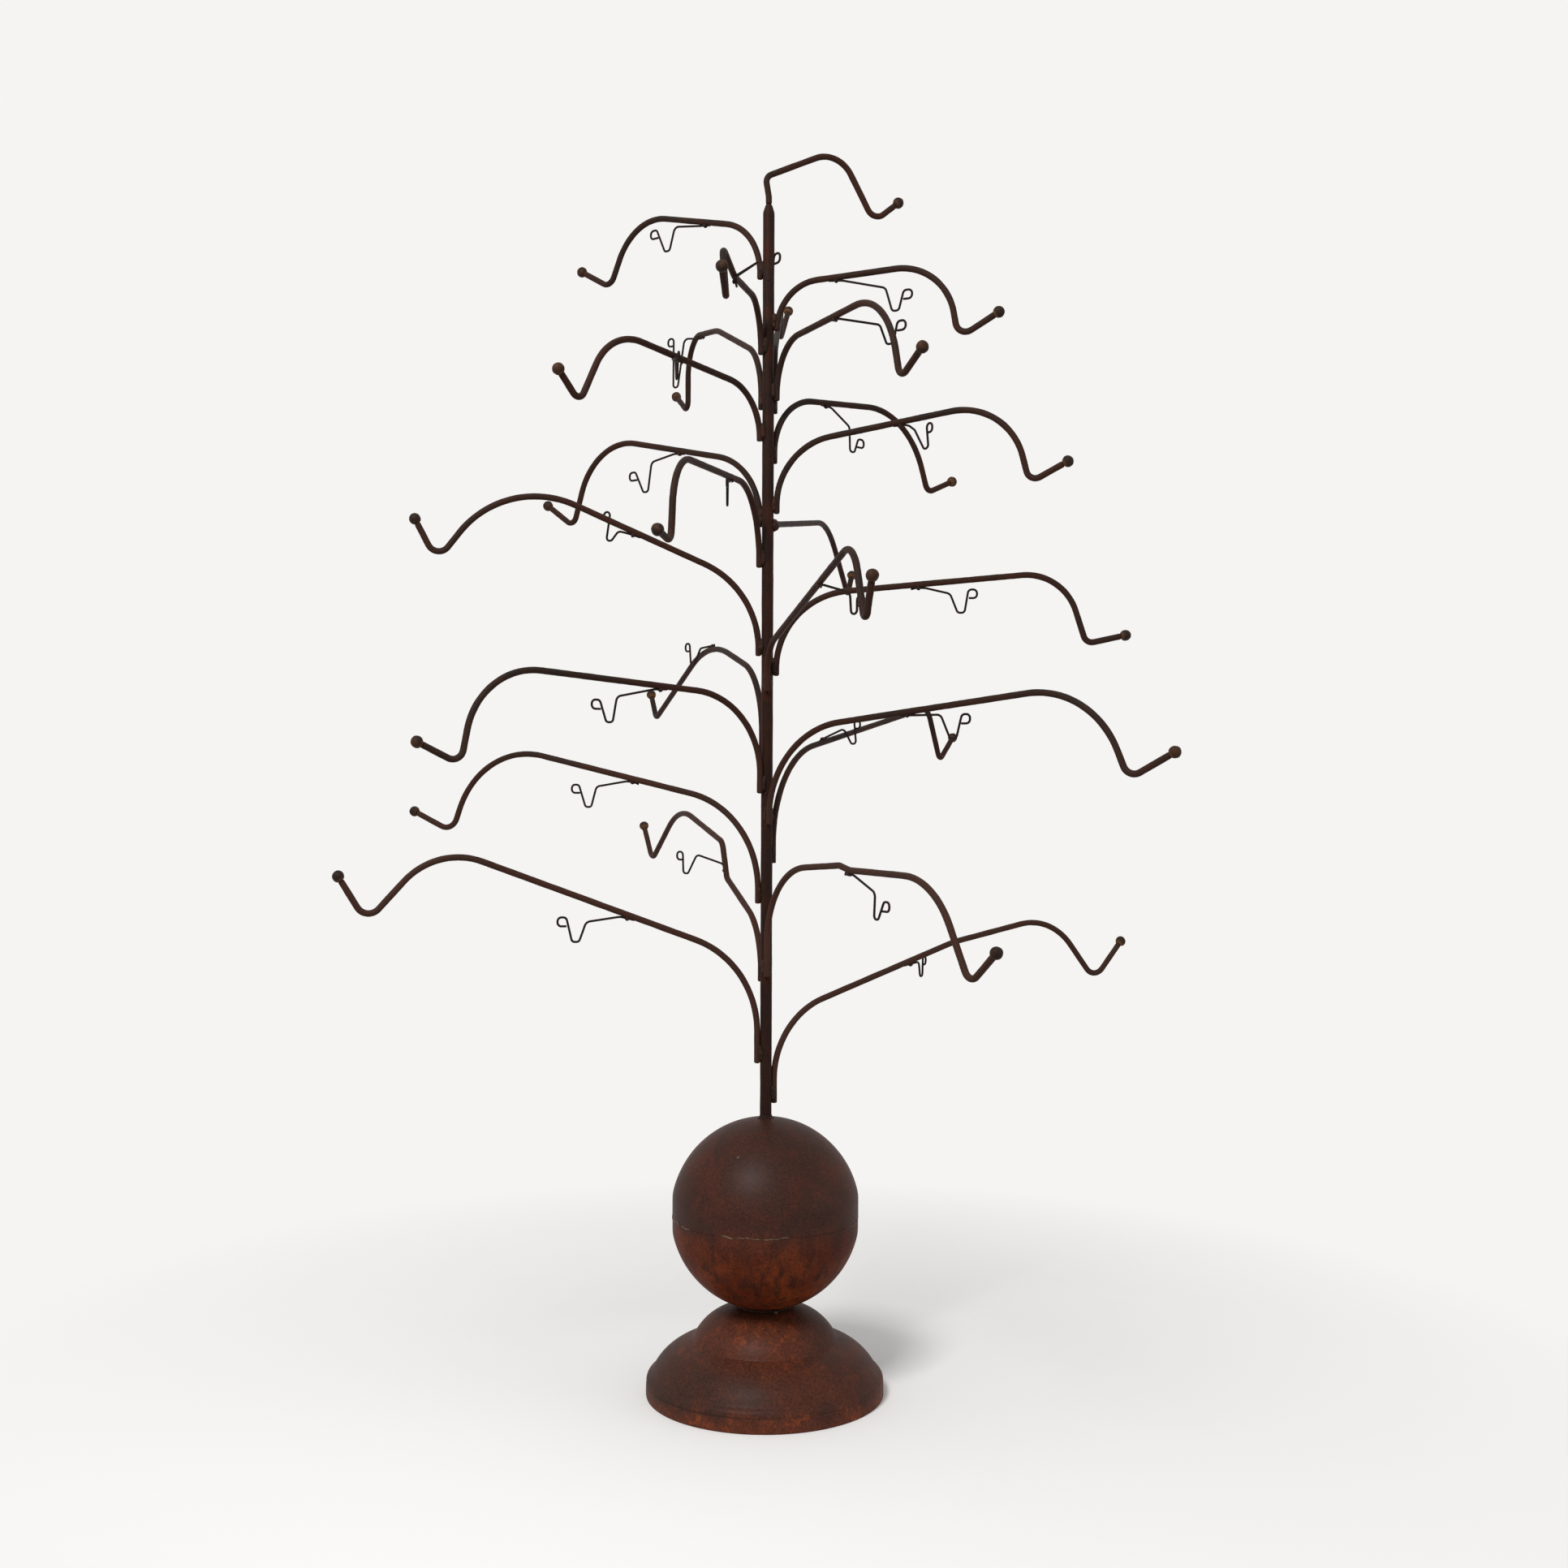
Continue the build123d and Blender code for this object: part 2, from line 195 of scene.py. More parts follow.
def feed(tree, socket, value):
    """Links a socket to another one, or sets it to a constant."""
    if isinstance(value, bpy.types.NodeSocket):
        tree.links.new(value, socket)
    else:
        socket.default_value = value


def node(tree, kind, settings=None, **sockets):
    """A node with its settings, and its sockets set or linked; a socket's spaces are written as _."""
    made = tree.nodes.new(kind)
    for key, value in (settings or {}).items():
        setattr(made, key, value)
    for key, value in sockets.items():
        feed(tree, made.inputs[int(key[1:]) if key[1:].isdigit() else key.replace("_", " ")], value)
    return made


def mixed(tree, share, first, second):
    """Two colours mixed by a share from 0 to 1."""
    made = tree.nodes.new("ShaderNodeMix")
    made.data_type = "RGBA"
    feed(tree, made.inputs[0], share)
    for socket, colour in ((made.inputs[6], first), (made.inputs[7], second)):
        feed(tree, socket, (*colour, 1) if isinstance(colour, tuple) else colour)
    return made.outputs[2]


def sums(tree, operation, first, second):
    return node(tree, "ShaderNodeMath", {"operation": operation}, _0=first, _1=second).outputs[0]


def plus(tree, first, second):
    return sums(tree, "ADD", first, second)


def times(tree, first, second):
    return sums(tree, "MULTIPLY", first, second)


def stretch(tree, value, low, high, to_low=0.0, to_high=1.0):
    """A value drawn from one range into another, held at its ends."""
    return node(
        tree, "ShaderNodeMapRange", {"clamp": True},
        Value=value, From_Min=low, From_Max=high, To_Min=to_low, To_Max=to_high,
    ).outputs[0]


def ranged(tree, share, to_low, to_high):
    """A share from 0 to 1 drawn into another range."""
    return stretch(tree, share, 0.0, 1.0, to_low, to_high)


def coordinate(tree, vector, letter):
    return node(tree, "ShaderNodeSeparateXYZ", Vector=vector).outputs[letter]


# Rust: soft-edged patches, a fine grain over them, small pits, and a height for all of it
rust, rust_in, rust_out = new_group(
    "rust_bloom",
    (("Position", "NodeSocketVector"), ("Patch Scale", "NodeSocketFloat"), ("Reach", "NodeSocketFloat"),
     ("Grain Scale", "NodeSocketFloat")),
    (("Bloom", "NodeSocketFloat"), ("Grain", "NodeSocketFloat"), ("Pits", "NodeSocketFloat"),
     ("Height", "NodeSocketFloat")),
)
patches = node(
    rust, "ShaderNodeTexNoise", Vector=rust_in.outputs["Position"], Scale=rust_in.outputs["Patch Scale"],
    Detail=7.0, Roughness=0.62, Distortion=0.8,
).outputs[0]
grains = node(
    rust, "ShaderNodeTexNoise", Vector=rust_in.outputs["Position"], Scale=rust_in.outputs["Grain Scale"],
    Detail=4.0, Roughness=0.7,
).outputs[0]
pit_spots = node(
    rust, "ShaderNodeTexVoronoi", Vector=rust_in.outputs["Position"],
    Scale=times(rust, rust_in.outputs["Grain Scale"], 0.3),
).outputs["Distance"]
bloom = stretch(rust, patches, rust_in.outputs["Reach"], plus(rust, rust_in.outputs["Reach"], 0.15))
pits = stretch(rust, pit_spots, 0.05, 0.32, 1.0, 0.0)
rust.links.new(bloom, rust_out.inputs["Bloom"])
rust.links.new(stretch(rust, grains, 0.3, 0.7), rust_out.inputs["Grain"])
rust.links.new(pits, rust_out.inputs["Pits"])
raised = plus(rust, grains, times(rust, bloom, 0.35))
rust.links.new(sums(rust, "SUBTRACT", raised, times(rust, pits, 0.4)), rust_out.inputs["Height"])

# Runs: upright streaks where wet has run down
runs, runs_in, runs_out = new_group(
    "rust_runs",
    (("Position", "NodeSocketVector"), ("Run Scale", "NodeSocketFloat")),
    (("Runs", "NodeSocketFloat"),),
)
drawn_down = node(
    runs, "ShaderNodeMapping", Vector=runs_in.outputs["Position"], Scale=(1.0, 1.0, 0.16)
).outputs[0]
run_lines = node(
    runs, "ShaderNodeTexNoise", Vector=drawn_down, Scale=runs_in.outputs["Run Scale"],
    Detail=5.0, Roughness=0.6, Distortion=0.25,
).outputs[0]
runs.links.new(stretch(runs, run_lines, 0.42, 0.66), runs_out.inputs["Runs"])

# Specks: a few pale spots of dust and chipped rust, far apart
specks, specks_in, specks_out = new_group(
    "pale_specks",
    (("Position", "NodeSocketVector"), ("Spacing Scale", "NodeSocketFloat"), ("Rarity", "NodeSocketFloat")),
    (("Specks", "NodeSocketFloat"),),
)
cells = node(
    specks, "ShaderNodeTexVoronoi",
    Vector=specks_in.outputs["Position"], Scale=specks_in.outputs["Spacing Scale"],
).outputs
chance = node(specks, "ShaderNodeSeparateColor", Color=cells["Color"]).outputs[0]
chosen = sums(specks, "GREATER_THAN", chance, specks_in.outputs["Rarity"])
spots = times(specks, stretch(specks, cells["Distance"], 0.07, 0.03), chosen)
specks.links.new(spots, specks_out.inputs["Specks"])


def new_iron(name, sheen_level):
    """A material with its tree, its shader and Object coordinates."""
    material = bpy.data.materials.new(name)
    material.use_nodes = True
    tree = material.node_tree
    shader = tree.nodes["Principled BSDF"]
    shader.inputs["Specular IOR Level"].default_value = sheen_level
    return material, tree, shader, tree.nodes.new("ShaderNodeTexCoord").outputs["Object"]


def group_node(tree, group, **sockets):
    return node(tree, "ShaderNodeGroup", {"node_tree": group}, **sockets).outputs


def shaded(tree, colour, value, low, high):
    """A colour made darker and lighter by a value from 0 to 1."""
    factor = ranged(tree, value, low, high)
    return node(tree, "ShaderNodeVectorMath", {"operation": "SCALE"}, _0=colour, Scale=factor).outputs[0]


def finish_iron(tree, shader, colour, rough, height, relief, waxed=None):
    """Links a colour, a roughness, a height with its relief in metres, and a coat where the iron is waxed."""
    tree.links.new(colour, shader.inputs["Base Color"])
    if waxed:
        shader.inputs["Coat Roughness"].default_value = 0.45
        tree.links.new(waxed, shader.inputs["Coat Weight"])
    tree.links.new(rough, shader.inputs["Roughness"])
    bump = node(tree, "ShaderNodeBump", Strength=0.6, Distance=relief, Height=height)
    tree.links.new(bump.outputs[0], shader.inputs["Normal"])


dish_rust, tree, shader, place = new_iron("dish_rust", 0.02)
marks = group_node(tree, rust, Position=place, Patch_Scale=24.0, Reach=0.44, Grain_Scale=520.0)
speckle = group_node(tree, rust, Position=place, Patch_Scale=125.0, Reach=0.50, Grain_Scale=1300.0)
streaks = group_node(tree, runs, Position=place, Run_Scale=90.0)
dust = group_node(tree, specks, Position=place, Spacing_Scale=52.0, Rarity=0.90)
level = coordinate(tree, place, "Z")
across = sums(tree, "SUBTRACT", coordinate(tree, place, "X"), axis_x)

# Rusting is strongest on the dome's middle and low on the rim
low_rust = stretch(tree, plus(tree, level, times(tree, marks["Bloom"], -0.005)), 0.0125, 0.0020)
off_middle = node(tree, "ShaderNodeMath", {"operation": "ABSOLUTE"}, _0=across).outputs[0]
middle = stretch(tree, off_middle, 0.022, 0.056, 1.0, 0.45)
dome_rust = times(tree, stretch(tree, level, 0.034, 0.045), middle)
rusting = plus(tree, dome_rust, times(tree, low_rust, 1.3))
rusting = plus(tree, times(tree, rusting, 0.85), 0.15)

# Browns, redder where it rusts, then streaks, a darker left, painted shade on the dome's right and in the
# groove above the rim, pits, grain and dust
brown = mixed(tree, marks["Bloom"], (0.042, 0.0178, 0.0130), (0.062, 0.0200, 0.0118))
left_side = stretch(tree, across, -0.025, -0.070, 0.0, 0.5)
brown = mixed(tree, left_side, brown, (0.030, 0.0178, 0.0140))
brown = mixed(tree, times(tree, rusting, 0.55), brown, (0.118, 0.0300, 0.0135))
clusters = times(tree, ranged(tree, marks["Bloom"], 0.35, 1.0), speckle["Bloom"])
brown = mixed(tree, times(tree, times(tree, clusters, rusting), 0.80), brown, (0.195, 0.0450, 0.0150))
brown = mixed(tree, times(tree, streaks["Runs"], 0.25), brown, (0.028, 0.0125, 0.0090))
# Painted shade: the dome's right side is darkened as if in shade from the light on the left
painted_right_shade = stretch(tree, across, 0.012, 0.045, 0.0, 0.45)
painted_right_shade = times(tree, painted_right_shade, stretch(tree, level, 0.036, 0.046))
brown = mixed(tree, painted_right_shade, brown, (0.026, 0.0125, 0.0090))
# Painted shade: a dark line in the groove above the rim, darker towards the left
painted_groove_shade = times(tree, stretch(tree, level, 0.0104, 0.0116), stretch(tree, level, 0.0130, 0.0120))
painted_groove_shade = times(tree, painted_groove_shade, stretch(tree, across, 0.010, -0.020, 0.1, 0.5))
brown = mixed(tree, painted_groove_shade, brown, (0.018, 0.0095, 0.0075))
brown = mixed(tree, times(tree, speckle["Pits"], 0.55), brown, (0.015, 0.0085, 0.0070))
brown = shaded(tree, brown, marks["Grain"], 0.58, 1.42)
brown = mixed(tree, dust["Specks"], brown, (0.230, 0.190, 0.150))
waxed = stretch(tree, rusting, 0.15, 1.0, 0.14, 0.15)
rough = ranged(tree, marks["Grain"], 0.42, 0.60)
finish_iron(tree, shader, brown, rough, speckle["Height"], 0.0004, waxed)

dish.data.materials.append(dish_rust)
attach(dish, "root")
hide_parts("base_dish")

# --- The ball's halves ------------------------------------------------------------------------------
# A hollow ball of two pressed sheet halves that meet just under its middle, the upper edge standing a
# little proud. Each half has a hole in its pole for the post. Dark above, rusted in runs below.
upper_low, upper_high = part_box("upper_ball_half")
lower_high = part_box("lower_ball_half")[1]
ball_radius = 0.0773
band_trim = ball_radius - (upper_high.x - upper_low.x) / 2
seam_level = lower_high.z
seam_drop = 0.003
seam_step = 0.0001
seam_edge = 0.0004
post_hole = 0.0049
ball_sheet = 0.0016
ball_sides = 128
half_rings = 34
ball_dent_size, ball_dent_depth = 0.07, 0.0004
ball_dents = unevenness("ball_dents", ball_dent_size)

ball_rust, tree, shader, place = new_iron("ball_rust", 0.02)
marks = group_node(tree, rust, Position=place, Patch_Scale=27.0, Reach=0.45, Grain_Scale=620.0)
speckle = group_node(tree, rust, Position=place, Patch_Scale=140.0, Reach=0.50, Grain_Scale=1300.0)
streaks = group_node(tree, runs, Position=place, Run_Scale=150.0)
dust = group_node(tree, specks, Position=place, Spacing_Scale=46.0, Rarity=0.93)
level = coordinate(tree, place, "Z")
below = stretch(tree, level, seam_level + 0.004, seam_level - 0.032)

# Brown above and orange below, then streaks, mottling, pits, a dark band over the seam and painted shade on
# the crown
brown = mixed(tree, marks["Bloom"], (0.040, 0.0140, 0.0090), (0.062, 0.0168, 0.0092))
orange = mixed(tree, marks["Bloom"], (0.098, 0.0180, 0.0060), (0.150, 0.0295, 0.0080))
brown = mixed(tree, below, brown, orange)
streaking = ranged(tree, below, 0.20, 0.80)
brown = mixed(tree, times(tree, streaks["Runs"], streaking), brown, (0.024, 0.0110, 0.0085))
mottling = times(tree, ranged(tree, below, 0.14, 0.60), ranged(tree, marks["Bloom"], 0.4, 1.0))
brown = mixed(tree, times(tree, speckle["Bloom"], mottling), brown, (0.150, 0.0370, 0.0110))
brown = mixed(tree, times(tree, speckle["Pits"], 0.50), brown, (0.015, 0.0085, 0.0070))
shade = times(
    tree, stretch(tree, level, seam_level - 0.006, seam_level + 0.008),
    stretch(tree, level, seam_level + 0.030, seam_level + 0.010),
)
brown = mixed(tree, times(tree, shade, 0.35), brown, (0.024, 0.0125, 0.0100))
# Painted shade: the ball's top is darkened as if less light fell on it from above
painted_crown_shade = stretch(tree, level, seam_level + 0.040, seam_level + 0.078)
brown = mixed(tree, times(tree, painted_crown_shade, 0.45), brown, (0.022, 0.0110, 0.0085))
brown = shaded(tree, brown, marks["Grain"], 0.55, 1.45)
brown = mixed(tree, times(tree, dust["Specks"], 0.6), brown, (0.150, 0.130, 0.100))
waxed = stretch(tree, below, 0.0, 0.6, 0.20, 0.05)
rough = ranged(tree, marks["Grain"], 0.42, 0.58)
finish_iron(tree, shader, brown, rough, speckle["Height"], 0.0003, waxed)


def ball_half(name, node_name, radius, side):
    """A shell from the seam to the hole in a pole, pressed to a band; side is 1 above and -1 below."""
    start = -math.asin(seam_drop / radius)
    sweep = side * math.acos(post_hole / radius) - start
    rings = []
    for ring in range(half_rings + 1):
        angle = start + sweep * ring / half_rings
        height = seam_level if ring == 0 else seam_level + seam_drop + radius * math.sin(angle)
        rings.append((min(radius * math.cos(angle), radius - band_trim), height))
    rings.insert(1, (rings[0][0], seam_level + side * seam_edge))
    half = turned(rings, ball_sides)
    thicken(half, ball_sheet, 1)
    uneven(half, ball_dents, ball_dent_depth)
    settle(half, name)
    half.data.materials.append(ball_rust)
    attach(half, "root")
    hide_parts(node_name)


ball_half("pressed_lower_half", "lower_ball_half", ball_radius - seam_step, -1)
ball_half("pressed_upper_half", "upper_ball_half", ball_radius, 1)

# --- The ball's welds -------------------------------------------------------------------------------
# A thin crinkled bead that closes the ball's seam, mostly dressed flush, a bead tucked between the ball
# and the dish's opening, and a drop that ran out of it. Weld metal, darkened like the iron round it.
def upward_of(tree):
    """How far the surface faces upwards, from -1 to 1."""
    return coordinate(tree, tree.nodes.new("ShaderNodeNewGeometry").outputs["Normal"], "Z")


weld_iron, tree, shader, place = new_iron("weld_iron", 0.06)
marks = group_node(tree, rust, Position=place, Patch_Scale=120.0, Reach=0.45, Grain_Scale=900.0)
grey = mixed(tree, marks["Bloom"], (0.022, 0.0125, 0.0100), (0.046, 0.0165, 0.0100))
# Painted highlight: upward-facing weld metal is made lighter and greyer
painted_weld_top_highlight = times(tree, stretch(tree, upward_of(tree), 0.2, 0.95), 0.25)
grey = mixed(tree, painted_weld_top_highlight, grey, (0.050, 0.0340, 0.0280))
grey = shaded(tree, grey, marks["Grain"], 0.75, 1.25)
rough = ranged(tree, marks["Grain"], 0.36, 0.58)
finish_iron(tree, shader, grey, rough, marks["Height"], 0.0004)

# The seam's bead has a painted highlight, pale in front and at both sides, and is as brown as the ball
# everywhere else
seam_iron, tree, shader, place = new_iron("seam_iron", 0.06)
marks = group_node(tree, rust, Position=place, Patch_Scale=260.0, Reach=0.42, Grain_Scale=1400.0)
across = sums(tree, "SUBTRACT", coordinate(tree, place, "X"), axis_x)
front = times(tree, stretch(tree, across, -0.037, -0.030), stretch(tree, across, 0.026, 0.018))
sides = plus(tree, stretch(tree, across, -0.057, -0.063), stretch(tree, across, 0.066, 0.070))
painted_glint = times(tree, plus(tree, front, sides), ranged(tree, marks["Bloom"], 0.25, 1.0))
seam_colour_with_glint = mixed(tree, painted_glint, (0.050, 0.0195, 0.0120), (0.150, 0.098, 0.070))
rough = ranged(tree, marks["Grain"], 0.40, 0.60)
finish_iron(tree, shader, seam_colour_with_glint, rough, marks["Height"], 0.0003)

seam_bead_radius = 0.00045
seam_bead_inset = 0.0002
seam_waver = 0.0040
seam_swelling = 0.0009
clear_selection()
bpy.ops.mesh.primitive_torus_add(
    major_segments=320, minor_segments=12, major_radius=ball_radius - band_trim - seam_bead_inset,
    minor_radius=seam_bead_radius, location=(axis_x, axis_y, seam_level),
)
seam = bpy.context.object
waver = seam.modifiers.new("waver", "DISPLACE")
waver.texture = unevenness("seam_lumps", 0.006)
waver.texture_coords = "GLOBAL"
waver.direction = "Z"
waver.strength = seam_waver
swell = seam.modifiers.new("swell", "DISPLACE")
swell.texture = unevenness("seam_swell", 0.011)
swell.texture_coords = "GLOBAL"
swell.strength = seam_swelling
settle(seam, "seam_bead")
seam.data.materials.append(seam_iron)
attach(seam, "root")
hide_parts("ball_seam_weld")


def copied(node_name, name):
    """A copy of a part's solid, without its material."""
    clear_selection()
    piece = bpy.data.objects.new(name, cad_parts[node_name].data.copy())
    bpy.context.scene.collection.objects.link(piece)
    piece.data.materials.clear()
    return piece


def worked_copy(node_name, name, grid, field, amount, easing=3, regain=0.0):
    """A copy of a part's solid, evenly meshed, its edges eased and its surface a little uneven.

    The regain is pushed back out, for what the easing takes off thin rods."""
    piece = copied(node_name, name)
    pick(piece)
    bpy.ops.object.mode_set(mode="EDIT")
    bpy.ops.mesh.select_all(action="SELECT")
    bpy.ops.mesh.remove_doubles(threshold=merge_distance)
    bpy.ops.object.mode_set(mode="OBJECT")
    even = piece.modifiers.new("even", "REMESH")
    even.mode = "VOXEL"
    even.voxel_size = grid
    eased = piece.modifiers.new("eased", "SMOOTH")
    eased.factor = 0.5
    eased.iterations = easing
    if regain:
        fuller = piece.modifiers.new("fuller", "DISPLACE")
        fuller.strength = regain
        fuller.mid_level = 0.0
    uneven(piece, field, amount)
    settle(piece, name)
    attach(piece, "root")
    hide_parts(node_name)
    return piece


weld_lumps = unevenness("weld_lumps", 0.0045)
seat = worked_copy("ball_seat_weld", "seat_bead", grid=0.0006, field=weld_lumps, amount=0.0010)
seat.data.materials.append(weld_iron)

# A drop that ran out of the seat's bead in front and set on the dome; the seam's material gives it a painted
# pale glint
drop_place = (axis_x + 0.0086, axis_y - 0.0212, dome_top[1] + 0.0004)
drop_radius = 0.0016
drop_stretch = (1.0, 1.5, 0.75)
drop_turn = math.radians(-40)
drop_lumps = 0.0008
clear_selection()
bpy.ops.mesh.primitive_uv_sphere_add(segments=32, ring_count=20, radius=drop_radius, location=drop_place)
drop = bpy.context.object
pick(drop)
bpy.ops.object.mode_set(mode="EDIT")
bpy.ops.mesh.select_all(action="SELECT")
bpy.ops.transform.resize(value=drop_stretch, center_override=drop_place)
bpy.ops.transform.rotate(value=drop_turn, orient_axis="Z", center_override=drop_place)
bpy.ops.object.mode_set(mode="OBJECT")
uneven(drop, weld_lumps, drop_lumps)
settle(drop, "weld_drop")
drop.data.materials.append(seam_iron)
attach(drop, "root")

# --- The post ---------------------------------------------------------------------------------------
# A round iron bar that stands through the ball and ends in a short taper. Dark mill scale with rust in
# long faint patches. A fillet of weld holds it at the crown and under the ball.
post_iron, tree, shader, place = new_iron("post_iron", 0.05)
marks = group_node(tree, rust, Position=place, Patch_Scale=38.0, Reach=0.46, Grain_Scale=800.0)
streaks = group_node(tree, runs, Position=place, Run_Scale=160.0)
scale = mixed(tree, marks["Bloom"], (0.0215, 0.0098, 0.0072), (0.036, 0.0116, 0.0068))
scale = mixed(tree, times(tree, streaks["Runs"], 0.45), scale, (0.016, 0.0090, 0.0072))
scale = shaded(tree, scale, marks["Grain"], 0.80, 1.20)
rough = ranged(tree, marks["Grain"], 0.40, 0.62)
finish_iron(tree, shader, scale, rough, marks["Height"], 0.00030)

bar_waves = unevenness("bar_waves", 0.016)
post = worked_copy("post", "round_post", grid=0.0010, field=bar_waves, amount=0.00035, regain=0.00015)
post.data.materials.append(post_iron)

foot_collar = worked_copy("foot_weld", "foot_fillet", grid=0.0005, field=weld_lumps, amount=0.0009)
foot_collar.data.materials.append(weld_iron)

# The crown's fillet has been dressed down to a thin hollow curve: steps out from the bar and up
crown_level = seam_level + seam_drop + ball_radius
bar_radius = 0.0046
fillet_steps = (
    (0.0, -0.0010), (0.0026, -0.0009), (0.0026, -0.0001), (0.0013, 0.0003),
    (0.0006, 0.0010), (0.0003, 0.0022), (0.0, 0.0026), (0.0, -0.0010),
)
fillet_sides = 64
fillet_lumps = 0.0006
crown = turned([(bar_radius + out, crown_level + up) for out, up in fillet_steps], fillet_sides)
soften(crown, 2)
uneven(crown, weld_lumps, fillet_lumps)
settle(crown, "crown_fillet")
crown.data.materials.append(post_iron)
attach(crown, "root")
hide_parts("crown_weld")

# --- The arms ---------------------------------------------------------------------------------------
# Twenty-four round rods bent cold and welded to the post by their tails, and a leader bent out of the
# post's top. Bare dark iron, browner and redder underneath and where rust has started.
rod_iron, tree, shader, place = new_iron("rod_iron", 0.03)
drift = node(tree, "ShaderNodeTexNoise", Vector=place, Scale=9.0, Detail=2.0, Roughness=0.5).outputs[0]
marks = group_node(tree, rust, Position=place, Patch_Scale=48.0, Reach=0.45, Grain_Scale=900.0)
upward = upward_of(tree)
under = stretch(tree, upward, 0.35, -0.75)
redness = times(tree, stretch(tree, drift, 0.40, 0.62), 0.6)
redness = sums(tree, "MINIMUM", plus(tree, redness, times(tree, under, 0.5)), 1.0)
scale = mixed(tree, redness, (0.0212, 0.0160, 0.0132), (0.041, 0.0158, 0.0108))
scale = mixed(tree, times(tree, marks["Bloom"], 0.30), scale, (0.056, 0.0205, 0.0110))
lower_arms = stretch(tree, coordinate(tree, place, "Z"), 0.56, 0.42, 0.0, 0.5)
scale = mixed(tree, lower_arms, scale, (0.066, 0.0290, 0.0200))
# Painted highlight: upward-facing rod surfaces are made lighter and greyer
painted_top_highlight = times(tree, stretch(tree, upward, 0.45, 1.0), stretch(tree, drift, 0.62, 0.40))
scale = mixed(tree, times(tree, painted_top_highlight, 0.25), scale, (0.044, 0.0345, 0.0285))
scale = shaded(tree, scale, marks["Grain"], 0.82, 1.18)
rough = ranged(tree, marks["Grain"], 0.38, 0.58)
finish_iron(tree, shader, scale, rough, marks["Height"], 0.00025)

rod_waves = unevenness("rod_waves", 0.012)
arm_nodes = sorted(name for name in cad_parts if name.startswith("arm_") and name[4:].isdigit())
arm_nodes.append("leader_arm")
rods = {}
for arm_node in arm_nodes:
    arm_name = "bent_rod_" + arm_node.removeprefix("arm_").removesuffix("_arm")
    arm = worked_copy(arm_node, arm_name, grid=0.0008, field=rod_waves, amount=0.0003, regain=0.0002)
    arm.data.materials.append(rod_iron)
    rods[arm_node] = arm

# --- The finials ------------------------------------------------------------------------------------
# A small solid iron ball welded to the end of every rod. Dark brown, with brassy brown showing where
# the weld has been dressed.
finial_iron, tree, shader, place = new_iron("finial_iron", 0.06)
marks = group_node(tree, rust, Position=place, Patch_Scale=60.0, Reach=0.50, Grain_Scale=900.0)
scale = mixed(tree, marks["Bloom"], (0.0240, 0.0140, 0.0105), (0.056, 0.0245, 0.0125))
neck = node(tree, "ShaderNodeAttribute", {"attribute_name": "neck"}).outputs["Fac"]
brassy = node(tree, "ShaderNodeTexNoise", Vector=place, Scale=14.0, Detail=1.0, Roughness=0.5).outputs[0]
neck = times(tree, neck, stretch(tree, brassy, 0.42, 0.58, 0.25, 1.0))
scale = mixed(tree, neck, scale, (0.098, 0.0455, 0.0175))
scale = shaded(tree, scale, marks["Grain"], 0.80, 1.20)
rough = ranged(tree, marks["Grain"], 0.36, 0.56)
finish_iron(tree, shader, scale, rough, marks["Height"], 0.0003)

# The neck is what lies near a rod's solid, and fades out over the ball
neck_reach = 0.0034
neck_fade = 0.0012
ball_lumps = unevenness("ball_lumps", 0.004)
finials = worked_copy("finial_balls", "finial_balls_dressed", grid=0.00042, field=ball_lumps, amount=0.0005)
rod_points = [
    point.co for arm_node in arm_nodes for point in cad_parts[arm_node].data.vertices
]
rod_tree = KDTree(len(rod_points))
for index, point in enumerate(rod_points):
    rod_tree.insert(point, index)
rod_tree.balance()
necks = finials.data.attributes.new("neck", "FLOAT", "POINT")
for point, value in zip(finials.data.vertices, necks.data):
    rod_distance = rod_tree.find(point.co)[2]
    value.value = min(1.0, max(0.0, (neck_reach - rod_distance) / neck_fade))
finials.data.materials.append(finial_iron)

# --- The weld beads on the rods ---------------------------------------------------------------------
# Lumps of weld metal between the rods' tails and the post, and on the laps of the wire hooks. They were
# left as they set, and have gone dark.
for bead_node, bead_name, grid, lumpy, swelling in (
    ("arm_weld_beads", "tail_beads", 0.0007, 0.0024, 0.0005),
    ("hook_weld_beads", "wire_lap_beads", 0.0005, 0.0014, 0.0001),
):
    beads = worked_copy(bead_node, bead_name, grid, weld_lumps, lumpy, easing=7, regain=swelling)
    beads.data.materials.append(weld_iron)

# --- The wire hooks ---------------------------------------------------------------------------------
# Thin iron wire bent into a dip and a closed loop, lap-welded to a rod by one end. The wire is smooth
# and nearly black, and the weld has drawn the end of each lap into the rod.
wire_iron, tree, shader, place = new_iron("wire_iron", 0.04)
marks = group_node(tree, rust, Position=place, Patch_Scale=110.0, Reach=0.5, Grain_Scale=1400.0)
black = mixed(tree, marks["Bloom"], (0.0150, 0.0095, 0.0078), (0.032, 0.0135, 0.0092))
rough = ranged(tree, marks["Grain"], 0.38, 0.58)
finish_iron(tree, shader, black, rough, marks["Height"], 0.0002)

lap_length = 0.0120
lap_reach = 0.0022
lap_sink = 0.0016
smooth_angle = math.radians(40)


def farthest(points, mark):
    """A copy of the point that lies farthest from a mark."""
    return max(points, key=lambda point: (point - mark).length).copy()


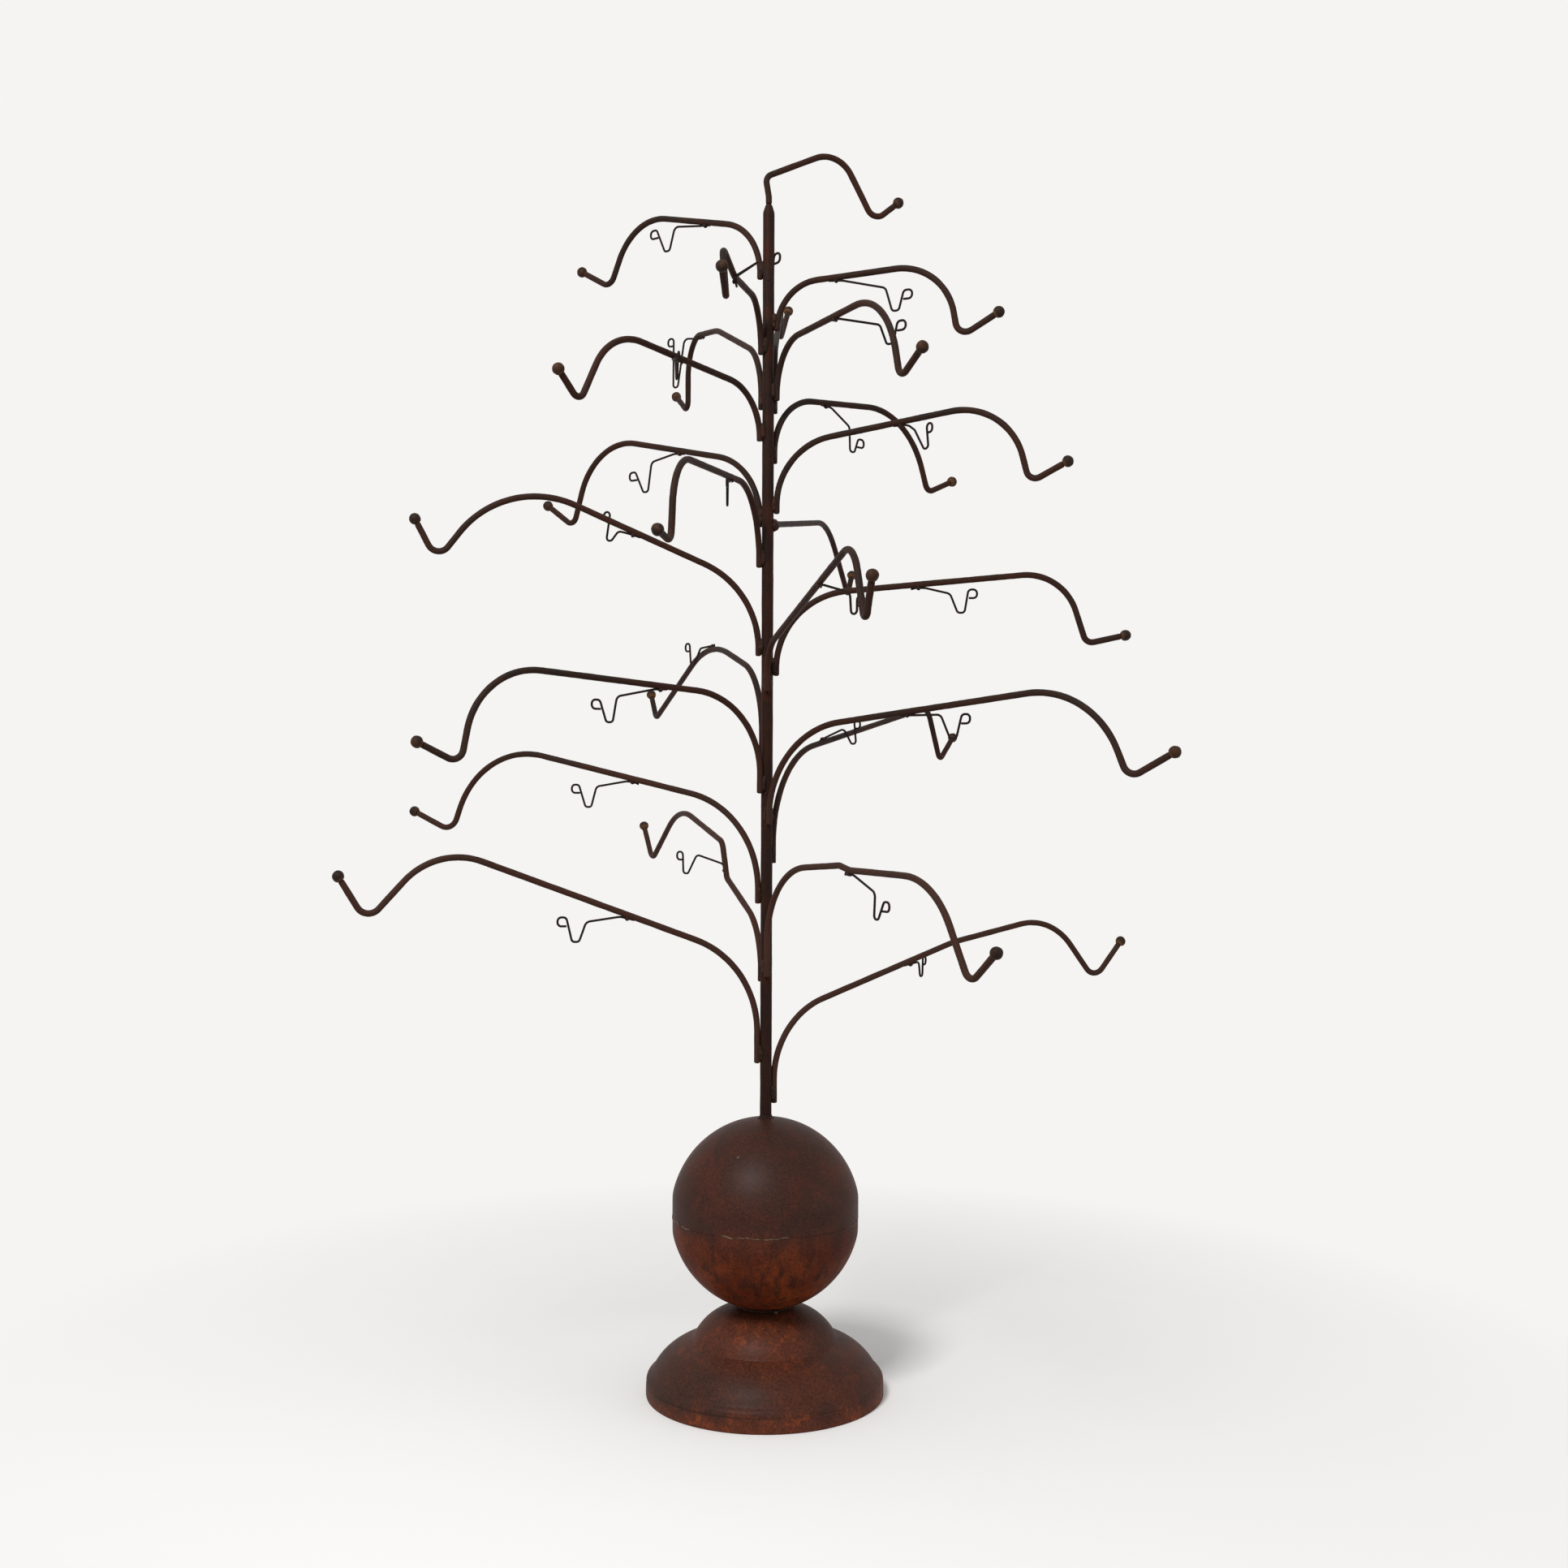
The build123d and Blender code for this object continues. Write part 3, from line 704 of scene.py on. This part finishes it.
hook_nodes = sorted(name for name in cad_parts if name.startswith("hook_") and name[5:].isdigit())
for hook_node in hook_nodes:
    number = hook_node.removeprefix("hook_")
    wire = copied(hook_node, hook_node)
    face_outwards(wire)
    touching = []
    for point in wire.data.vertices:
        towards = rods["arm_" + number].closest_point_on_mesh(point.co)[1] - point.co
        if towards.length < lap_reach:
            touching.append((point, towards))
    lap_points = [point.co for point, towards in touching]
    lap_middle = sum(lap_points, Vector()) / len(lap_points)
    loop_tip = farthest([point.co for point in wire.data.vertices], lap_middle)
    lap_end = farthest(lap_points, loop_tip)
    for point, towards in touching:
        share = max(0.0, 1 - (point.co - lap_end).length / lap_length)
        point.co += towards.normalized() * lap_sink * share
    settle(wire, "bent_wire_" + number)
    bpy.ops.object.shade_smooth_by_angle(angle=smooth_angle)
    wire.data.materials.append(wire_iron)
    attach(wire, "root")
    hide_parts(hook_node)

# --- Floor, light and camera ------------------------------------------------------------------------
# A pale studio sweep: a floor that fades into an off-white backdrop, a large soft light from the upper
# left, a weaker one from the right, and a level camera where the part's outline was fitted from.
backdrop = (0.9131, 0.9047, 0.8879)
floor_radius = 3.0
fade_start, fade_end = 0.25, 0.75
clear_selection()
bpy.ops.mesh.primitive_circle_add(vertices=96, radius=floor_radius, fill_type="NGON", location=(0, 0, 0))
floor = bpy.context.object
settle(floor, "studio_floor")


def mix_shaders(tree, share, first, second):
    made = tree.nodes.new("ShaderNodeMixShader")
    for socket, value in zip(made.inputs, (share, first, second)):
        tree.links.new(value, socket)
    return made.outputs[0]


pale = bpy.data.materials.new("pale_floor")
pale.use_nodes = True
tree = pale.node_tree
tree.nodes.clear()
place = tree.nodes.new("ShaderNodeTexCoord").outputs["Object"]
distance = node(tree, "ShaderNodeVectorMath", {"operation": "LENGTH"}, Vector=place).outputs["Value"]
matt = node(tree, "ShaderNodeBsdfDiffuse", Color=(*backdrop, 1)).outputs[0]
clear = tree.nodes.new("ShaderNodeBsdfTransparent").outputs[0]
faded = mix_shaders(tree, stretch(tree, distance, fade_start, fade_end), matt, clear)
tree.links.new(faded, tree.nodes.new("ShaderNodeOutputMaterial").inputs["Surface"])
floor.data.materials.append(pale)

# The backdrop is what the camera and shiny iron see; the ambient light is weaker
world = bpy.data.worlds.new("studio")
bpy.context.scene.world = world
world.use_nodes = True
tree = world.node_tree
tree.nodes.clear()
path = tree.nodes.new("ShaderNodeLightPath").outputs
seen = sums(tree, "MAXIMUM", path["Is Camera Ray"], path["Is Glossy Ray"])
seen = sums(tree, "MAXIMUM", seen, path["Is Transmission Ray"])
shown = node(tree, "ShaderNodeBackground", Color=(*backdrop, 1), Strength=1.0).outputs[0]
ambient = node(tree, "ShaderNodeBackground", Color=(1, 1, 1, 1), Strength=0.5).outputs[0]
surround = mix_shaders(tree, seen, ambient, shown)
tree.links.new(surround, tree.nodes.new("ShaderNodeOutputWorld").inputs["Surface"])


def soft_light(name, place, aim, size, power):
    clear_selection()
    bpy.ops.object.light_add(type="AREA", location=place)
    lamp = bpy.context.object
    lamp.name = name
    lamp.data.shape = "SQUARE"
    lamp.data.size = size
    lamp.data.energy = power
    lamp.rotation_euler = (Vector(aim) - Vector(place)).to_track_quat("-Z", "Y").to_euler()


soft_light("key_light", place=(-0.60, -1.30, 1.84), aim=(0, 0, 0.3), size=0.55, power=30.0)
soft_light("fill_light", place=(1.9, -0.5, 0.8), aim=(0, 0, 0.35), size=1.2, power=3.0)

camera_place = (0.0123, -1.4909, 0.4965)
camera_roll = math.radians(-0.2)
sensor_width = 36
focal_pixels = 2200
picture_pixels = 1932
clear_selection()
bpy.ops.object.camera_add(location=camera_place, rotation=(math.radians(90), camera_roll, 0))
camera = bpy.context.object
camera.data.sensor_width = sensor_width
camera.data.lens = sensor_width * focal_pixels / picture_pixels
camera.data.dof.use_dof = False
bpy.context.scene.camera = camera
bpy.context.scene.view_settings.view_transform = "Standard"
